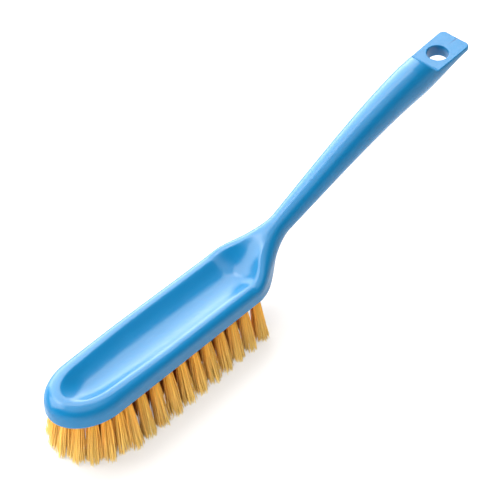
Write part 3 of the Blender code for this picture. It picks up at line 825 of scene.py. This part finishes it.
def filament(settings):
    """Extruded polypropylene filament in amber. Drawn through a die, it is smooth, with a soft sheen
    along its length; light passes through it, so it glows where it is lit. Its colour is painted
    deeper orange towards the roots and on filaments that other tufts cover, as painted shade, and
    its cut ends are paler."""
    looks, tree, shader = new_material(FILAMENT)
    along = add_node(tree, "ShaderNodeAttribute", {"attribute_name": "along"}).outputs["Fac"]
    tone = add_node(tree, "ShaderNodeAttribute", {"attribute_name": "tone"}).outputs["Fac"]
    # Painted shade: the colour runs from deeper orange at the roots, where shade falls inside the tuft,
    # to paler at the tips
    colours = {"data_type": "RGBA", COLOUR_A: (*settings.root_colour, 1.0),
               COLOUR_B: (*settings.tip_colour, 1.0)}
    tint = add_node(tree, "ShaderNodeMix", colours, {"Factor": along}).outputs[MIXED]
    # Painted shade: filaments that other tufts cover are mixed towards the deeper orange
    depth = add_node(tree, "ShaderNodeAttribute", {"attribute_name": "depth"}).outputs["Fac"]
    covered = {"data_type": "RGBA", COLOUR_B: (*settings.deep_pigment_and_painted_shade_colour, 1.0)}
    deepened = add_node(tree, "ShaderNodeMix", covered, {"Factor": depth, COLOUR_A: tint})
    shades = {"To Min": LOT_SHADES[0], "To Max": LOT_SHADES[1]}
    shade = add_node(tree, "ShaderNodeMapRange", shades, {"Value": tone})
    lot = {"Value": shade.outputs[0], "Color": deepened.outputs[MIXED]}
    lots = add_node(tree, "ShaderNodeHueSaturation", links=lot).outputs["Color"]
    last = {"From Min": CUT_END_START, "From Max": 1.0}
    cut_end = add_node(tree, "ShaderNodeMapRange", last, {"Value": along}).outputs[0]
    pale = {"data_type": "RGBA", COLOUR_B: (*settings.cut_colour, 1.0)}
    ends = add_node(tree, "ShaderNodeMix", pale, {"Factor": cut_end, COLOUR_A: lots}).outputs[MIXED]
    tree.links.new(ends, shader.inputs["Base Color"])
    shader.inputs["Roughness"].default_value = FILAMENT_ROUGHNESS
    shader.inputs["IOR"].default_value = PLASTIC_IOR
    shader.inputs["Specular IOR Level"].default_value = FILAMENT_SPECULAR
    through = add_node(tree, "ShaderNodeBsdfTranslucent", links={"Color": ends})
    sides = {1: shader.outputs[0], 2: through.outputs[0]}
    both = add_node(tree, "ShaderNodeMixShader", {0: FILAMENT_THROUGH}, sides)
    tree.links.new(both.outputs[0], tree.nodes["Material Output"].inputs["Surface"])
    return looks


def single_filament():
    """One straight filament of unit length and radius: a cylinder cut into short lengths."""
    deselect()
    bpy.ops.mesh.primitive_cylinder_add(vertices=FILAMENT_SIDES, radius=1.0, depth=1.0,
                                        end_fill_type="NGON", location=(0.0, 0.0, 0.5))
    strand = bpy.context.object
    bpy.ops.object.transform_apply(location=True, rotation=False, scale=False)
    bpy.ops.object.mode_set(mode="EDIT")
    bpy.ops.mesh.select_mode(type="EDGE")
    bpy.ops.mesh.select_all(action="DESELECT")
    bpy.ops.object.mode_set(mode="OBJECT")
    points = strand.data.vertices
    for edge in strand.data.edges:
        ends = [points[k].co.z for k in edge.vertices]
        edge.select = abs(ends[0] - ends[1]) > 0.5
    bpy.ops.object.mode_set(mode="EDIT")
    bpy.ops.mesh.subdivide(number_cuts=FILAMENT_CUTS)
    bpy.ops.object.mode_set(mode="OBJECT")
    if len(strand.data.polygons) != FILAMENT_SIDES * (FILAMENT_CUTS + 1) + 2:
        raise RuntimeError(f"A filament has {len(strand.data.polygons)} faces")
    places = np.array([tuple(vertex.co) for vertex in strand.data.vertices])
    faces = [tuple(face.vertices) for face in strand.data.polygons]
    bpy.data.objects.remove(strand, do_unlink=True)
    return places, faces


def clump_centres(rng):
    """Where the filaments of a tuft draw together, in shares of its radius."""
    centres = [np.zeros(3)]
    start = rng.uniform(0.0, 2 * math.pi)
    for k in range(CLUMPS - 1):
        angle = start + 2 * math.pi * k / (CLUMPS - 1) + rng.uniform(-CLUMP_TURN, CLUMP_TURN)
        centres.append(np.array([math.cos(angle), math.sin(angle), 0.0]) * rng.uniform(*CLUMP_RING))
    return centres


def bristle_tuft(name, place, strand, settings, stood, rng, looks):
    """Filaments that leave one hole as a tight bundle, spread, and are trimmed on one plane."""
    point, away, lean = place
    places, faces = strand
    axis = (away * math.sin(lean) + Vector((0, 0, -1)) * math.cos(lean)).normalized()
    at_toe = point.x < bpy.context.scene.brush_moulding.toe_length
    tip_spread = settings.toe_tip_spread if at_toe else settings.tip_spread
    radius = settings.filament_diameter / 2
    root_spread = settings.hole_diameter / 2 - radius
    centres = clump_centres(rng)
    root_centre = np.array(point) + [0.0, 0.0, TUFT_HOLE_DEPTH * ROOT_SHARE]
    fan_out = away * (TOE_FAN if at_toe else 0.0)
    tip_centre = np.array(point + axis * (TRIM_AT_TOE / math.cos(lean)) + fan_out)
    hang = np.array(stood.to_3x3() @ axis)
    inner = name.startswith("bristles_inner")
    vertices, polygons, alongs, tones, painted_shade_shares = [], [], [], [], []
    for k in range(settings.filaments):
        spread = math.sqrt((k + 0.5) / settings.filaments)
        angle = GOLDEN_ANGLE * k + rng.uniform(-SPOKE_TURN, SPOKE_TURN)
        spoke = spread * np.array([math.cos(angle), math.sin(angle), 0.0])
        nearest = min(centres, key=lambda centre: float(np.sum((centre - spoke) ** 2)))
        fan = mix(spoke, nearest, CLUMPING) * rng.uniform(*FAN_RANGE)
        stray = np.array([rng.gauss(0.0, STRAY), rng.gauss(0.0, STRAY), 0.0])
        start = np.array(stood @ Vector(root_centre + spoke * root_spread))
        end = np.array(stood @ Vector(tip_centre + fan * tip_spread + stray))
        short = settings.ragged * rng.random() ** RAGGED_POWER
        whole = (end - start) * (start[2] - short) / (start[2] - end[2])
        straight = hang * float(whole @ hang)
        bow = np.array([rng.gauss(0.0, BOW), rng.gauss(0.0, BOW), 0.0])
        t = places[:, 2]
        path = start + np.outer(t, straight) + np.outer(t ** FLARE, whole - straight)
        path += np.outer(np.sin(math.pi * t), bow)
        turned = rng.uniform(0.0, math.pi / 2)
        cos, sin = math.cos(turned), math.sin(turned)
        path[:, 0] += radius * (places[:, 0] * cos - places[:, 1] * sin)
        path[:, 1] += radius * (places[:, 0] * sin + places[:, 1] * cos)
        path[:, 2] = np.maximum(path[:, 2], TIP_CLEARANCE)
        base = len(vertices)
        vertices += path.tolist()
        polygons += [tuple(base + corner for corner in face) for face in faces]
        alongs += t.tolist()
        tones += [rng.random()] * len(t)
        # Painted shade: how far a filament is tinted deeper orange where other tufts cover it, less
        # towards the tips
        depth = 1.0 if inner else OUTER_PAINTED_SHADE - OUTER_PAINTED_SHADE * float(spoke @ np.array(away))
        painted_shade_shares += (depth * (1.0 - PAINTED_SHADE_TIP_LOSS * t * t)).tolist()
    tuft = tuft_object(name, vertices, polygons, {"along": alongs, "tone": tones, "depth": painted_shade_shares})
    tuft.data.materials.append(looks)
    return tuft


def tuft_object(name, vertices, polygons, attributes):
    """A mesh object from its points and faces, with a value for each point in each attribute."""
    mesh = bpy.data.meshes.new(name)
    mesh.from_pydata(vertices, [], polygons)
    for key, values in attributes.items():
        mesh.attributes.new(key, "FLOAT", "POINT").data.foreach_set("value", values)
    tuft = bpy.data.objects.new(name, mesh)
    bpy.context.scene.collection.objects.link(tuft)
    make_active(tuft)
    bpy.ops.object.shade_smooth_by_angle(angle=FILAMENT_SMOOTH_ANGLE)
    return tuft


def place_row(row):
    """Models a row of tufts, each in the place of its node."""
    settings = bpy.context.scene.brush_bristles
    looks = bpy.data.materials.get(FILAMENT) or filament(settings)
    strand = single_filament()
    stood = stand()
    rng = random.Random(f"{settings.seed} {row}")
    for ending, *place in row_tufts(row):
        tuft = bristle_tuft(f"bristles_{ending}", place, strand, settings, stood, rng, looks)
        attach(tuft, BODY)
        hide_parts(f"tuft_{ending}")


class SHOEBRUSH_OT_moulding(bpy.types.Operator):
    """Models the head, neck, handle and tab as one moulding"""

    bl_idname = "shoebrush.moulding"
    bl_label = "Moulding"

    def execute(self, context):
        shape = Moulding(context.scene.brush_moulding)
        rows = [[shape.finished(point) for point in line] for line in body_ribs(shape)]
        body = folded_sheet("moulded_body", rows)
        apply_modifier(body, "MIRROR", use_axis=(False, True, False), use_clip=True,
                       merge_threshold=MERGE)
        close_up(body)
        for cutter in bay_cutters(shape) + [hang_hole_cutter(shape), tuft_hole_cutter()]:
            cut(body, cutter)
        if len(body.data.polygons) < len(rows) * SECTION_POINTS:
            raise RuntimeError("The cuts left too little of the moulding")
        body.data.transform(stand())
        body.data.materials.append(polypropylene(context.scene.brush_moulding))
        make_active(body)
        bpy.ops.object.shade_smooth_by_angle(angle=MOULDING_SMOOTH_ANGLE)
        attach(body, BODY)
        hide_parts("brush_body")
        return {"FINISHED"}


class SHOEBRUSH_OT_toe_tufts(bpy.types.Operator):
    """Models the tufts round the toe"""

    bl_idname = "shoebrush.toe_tufts"
    bl_label = "Toe Tufts"

    def execute(self, context):
        place_row("toe")
        return {"FINISHED"}


class SHOEBRUSH_OT_side_tufts(bpy.types.Operator):
    """Models the outer rows of tufts along both sides"""

    bl_idname = "shoebrush.side_tufts"
    bl_label = "Side Tufts"

    def execute(self, context):
        place_row("side")
        return {"FINISHED"}


class SHOEBRUSH_OT_inner_tufts(bpy.types.Operator):
    """Models the two inner rows of tufts"""

    bl_idname = "shoebrush.inner_tufts"
    bl_label = "Inner Tufts"

    def execute(self, context):
        place_row("inner")
        return {"FINISHED"}


def panel_light(name, azimuth, elevation, distance, size, power):
    """A rectangular soft light at an angle round the brush, facing it."""
    lamp = bpy.data.lights.new(name, "AREA")
    lamp.shape = "RECTANGLE"
    lamp.size, lamp.size_y = size
    lamp.energy = power
    obj = bpy.data.objects.new(name, lamp)
    bpy.context.scene.collection.objects.link(obj)
    obj.matrix_world = (Matrix.Rotation(math.radians(azimuth), 4, "Z")
                        @ Matrix.Rotation(math.radians(90 - elevation), 4, "X")
                        @ Matrix.Translation((0.0, 0.0, distance)))
    obj.visible_camera = False
    return obj


def room(fill):
    """A plain studio: white at the horizon, dim above it, with a bright ceiling overhead."""
    world = bpy.context.scene.world or bpy.data.worlds.new("studio")
    bpy.context.scene.world = world
    world.use_nodes = True
    tree = world.node_tree
    tree.nodes.clear()
    way = add_node(tree, "ShaderNodeTexCoord").outputs["Generated"]
    height = add_node(tree, "ShaderNodeSeparateXYZ", links={"Vector": way}).outputs["Z"]
    dimming = {"From Min": HORIZON_SPAN[0], "From Max": HORIZON_SPAN[1],
               "To Min": HORIZON_LEVEL, "To Max": fill}
    level = add_node(tree, "ShaderNodeMapRange", dimming, {"Value": height})
    overhead = {"From Min": CEILING_SPAN[0], "From Max": CEILING_SPAN[1], "To Max": CEILING_LEVEL,
                "interpolation_type": "SMOOTHSTEP"}
    ceiling = add_node(tree, "ShaderNodeMapRange", overhead, {"Value": height})
    glow = add_node(tree, "ShaderNodeMath", links={0: level.outputs[0], 1: ceiling.outputs[0]})
    white = {"Color": (*linear(ROOM_WHITE), 1.0)}
    shade = add_node(tree, "ShaderNodeBackground", white, {"Strength": glow.outputs[0]})
    add_node(tree, "ShaderNodeOutputWorld", links={"Surface": shade.outputs[0]})


def white_floor(paper_colour):
    """Matt white paper, rolled out far. What looks at it or mirrors it sees it whiter, with its
    shadows pale, and whiter still far out, where the lamps' light falls off."""
    looks, tree, shader = new_material("matt_white_paper")
    tree.nodes.remove(shader)
    seen = add_node(tree, "ShaderNodeLightPath").outputs
    mirrored = {0: seen["Is Glossy Ray"], 1: seen["Is Transmission Ray"]}
    bent = add_node(tree, "ShaderNodeMath", {"operation": "MAXIMUM"}, mirrored)
    either = {0: seen["Is Camera Ray"], 1: bent.outputs[0]}
    looked_at = add_node(tree, "ShaderNodeMath", {"operation": "MAXIMUM"}, either)
    paper = add_node(tree, "ShaderNodeBsdfDiffuse", {"Color": (*paper_colour, 1.0)})
    shaded = add_node(tree, "ShaderNodeBsdfDiffuse", {"Color": (*linear(PAPER_SHADE), 1.0)})
    where = add_node(tree, "ShaderNodeTexCoord").outputs["Object"]
    away = add_node(tree, "ShaderNodeVectorMath", {"operation": "LENGTH"}, {0: where}).outputs["Value"]
    evened = {"From Min": GLOW_SPAN[0], "From Max": GLOW_SPAN[1],
              "To Min": GLOW_LEVELS[0], "To Max": GLOW_LEVELS[1]}
    level = add_node(tree, "ShaderNodeMapRange", evened, {"Value": away}).outputs[0]
    light = {"Color": (*linear(PAPER_GLOW), 1.0)}
    glow = add_node(tree, "ShaderNodeEmission", light, {"Strength": level})
    both = add_node(tree, "ShaderNodeAddShader", links={0: shaded.outputs[0], 1: glow.outputs[0]})
    sides = {0: looked_at.outputs[0], 1: paper.outputs[0], 2: both.outputs[0]}
    blend = add_node(tree, "ShaderNodeMixShader", links=sides)
    tree.links.new(blend.outputs[0], tree.nodes["Material Output"].inputs["Surface"])
    return looks


class SHOEBRUSH_OT_stage(bpy.types.Operator):
    """Adds the floor, the soft lights and the camera"""

    bl_idname = "shoebrush.stage"
    bl_label = "Stage"

    def execute(self, context):
        settings = context.scene.brush_stage
        deselect()
        bpy.ops.mesh.primitive_plane_add(size=settings.floor_size)
        floor = context.object
        floor.name = "floor"
        floor.data.materials.append(white_floor(settings.floor_colour))
        for name, (*place, share) in PANELS.items():
            lamp = panel_light(name, *place, settings.key_power * share)
            lamp.visible_glossy = name != "low_panel"        # it would show as a spot on the toe
        room(settings.fill_strength)
        context.scene.view_settings.view_transform = "Standard"
        lens = bpy.data.cameras.new("camera")
        lens.sensor_width = SENSOR
        lens.lens = LENS
        camera = bpy.data.objects.new("camera", lens)
        context.scene.collection.objects.link(camera)
        turn = Matrix.Rotation(CAMERA_AZIMUTH, 4, "Z")
        tilt = Matrix.Rotation(math.pi / 2 - CAMERA_ELEVATION, 4, "X")
        roll = Matrix.Rotation(CAMERA_ROLL, 4, "Z")
        back = Matrix.Translation((0.0, 0.0, CAMERA_DISTANCE))
        camera.matrix_world = Matrix.Translation(LOOK_AT) @ turn @ tilt @ roll @ back
        context.scene.camera = camera
        return {"FINISHED"}


class SHOEBRUSH_PT_panel(bpy.types.Panel):
    """Lists the pieces of the brush"""

    bl_label = "Shoe Brush"
    bl_idname = "SHOEBRUSH_PT_panel"
    bl_space_type = "VIEW_3D"
    bl_region_type = "UI"
    bl_category = "Shoe Brush"

    def draw(self, context):
        for step in STEPS:
            self.layout.operator(step.bl_idname)
        for name, kind in SETTINGS:
            box = self.layout.box()
            for key in kind.__annotations__:
                box.prop(getattr(context.scene, name), key)


STEPS = (SHOEBRUSH_OT_moulding, SHOEBRUSH_OT_toe_tufts, SHOEBRUSH_OT_side_tufts,
         SHOEBRUSH_OT_inner_tufts, SHOEBRUSH_OT_stage)
SETTINGS = (("brush_moulding", MouldingSettings), ("brush_bristles", BristleSettings),
            ("brush_stage", StageSettings))


def register():
    """Adds the settings, the operators and the panel."""
    for key, group in SETTINGS:
        bpy.utils.register_class(group)
        setattr(bpy.types.Scene, key, bpy.props.PointerProperty(type=group))
    for step in STEPS + (SHOEBRUSH_PT_panel,):
        bpy.utils.register_class(step)


def unregister():
    """Takes them away again."""
    for step in (SHOEBRUSH_PT_panel,) + STEPS[::-1]:
        bpy.utils.unregister_class(step)
    for key, group in SETTINGS:
        delattr(bpy.types.Scene, key)
        bpy.utils.unregister_class(group)


def main():
    """Builds the brush and its stage."""
    register()
    bpy.ops.shoebrush.moulding()
    bpy.ops.shoebrush.toe_tufts()
    bpy.ops.shoebrush.side_tufts()
    bpy.ops.shoebrush.inner_tufts()
    bpy.ops.shoebrush.stage()


if __name__ == "__main__":
    main()
